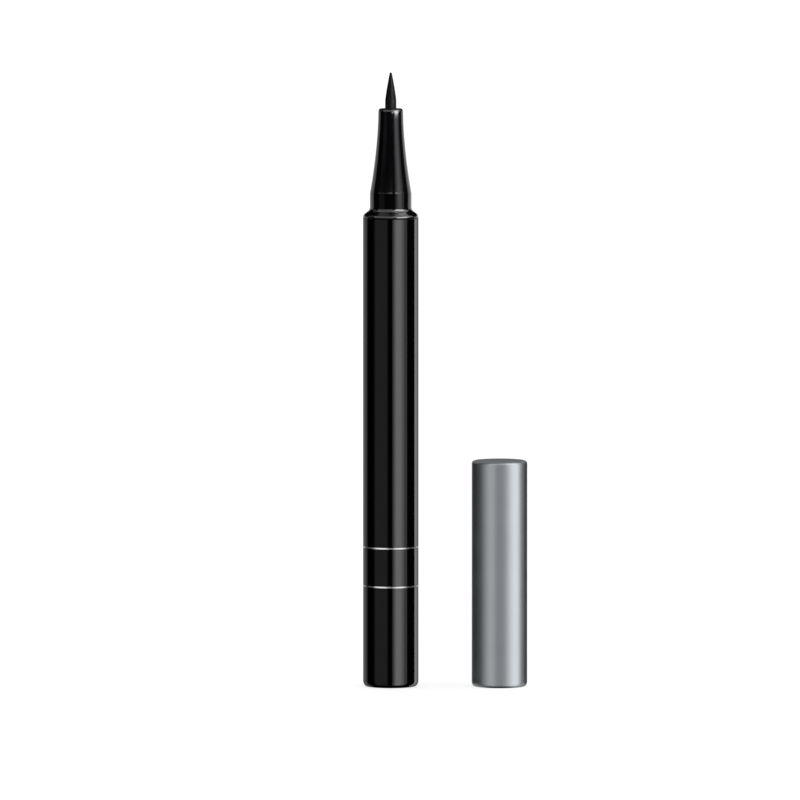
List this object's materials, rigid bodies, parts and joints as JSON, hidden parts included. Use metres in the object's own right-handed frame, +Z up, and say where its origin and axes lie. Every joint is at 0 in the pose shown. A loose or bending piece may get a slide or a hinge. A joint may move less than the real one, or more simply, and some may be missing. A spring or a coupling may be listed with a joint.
{
  "type": "felt-tip eyeliner pen",
  "caption": "Slim black eyeliner pen standing on its base with a fine felt nib, and its silver cap standing beside it, which lifts off upwards.",
  "frame": {"origin": "centre of the pen's base, on the surface that the pen and its cap stand on", "axes": "+Z up along the pen's axis towards the nib; +X from the pen to the cap that stands beside it; the picture looks along +Y"},
  "size_m": [0.0319, 0.0108, 0.1197],
  "materials": {
    "barrel_black": "polished",
    "nozzle_black": "glossy, as moulded",
    "plug_black": "fine matt",
    "liner_black": "fine matt",
    "holder_natural": "natural, as moulded",
    "silver_foil": "bright foil",
    "satin_silver": "satin anodised",
    "black_felt": "bonded fibre, soaked in ink",
    "inked_fibre": "fibre wadding, soaked in ink",
    "clear_film": "thin film"
  },
  "bodies": {
    "pen": {"barrel": "barrel_black", "end_plug": "plug_black", "lower_band": "silver_foil", "upper_band": "silver_foil", "nozzle": "nozzle_black", "nib_holder": "holder_natural", "nib": "black_felt", "reservoir_core": "inked_fibre", "reservoir_film": "clear_film"},
    "cap": {"cap_shell": "satin_silver", "cap_liner": "liner_black"}
  },
  "joints": [
    {"name": "cap_lift", "type": "slide", "parent": "pen", "child": "cap", "axis": [0, 0, 1], "range_m": [0, 0.125]}
  ]
}
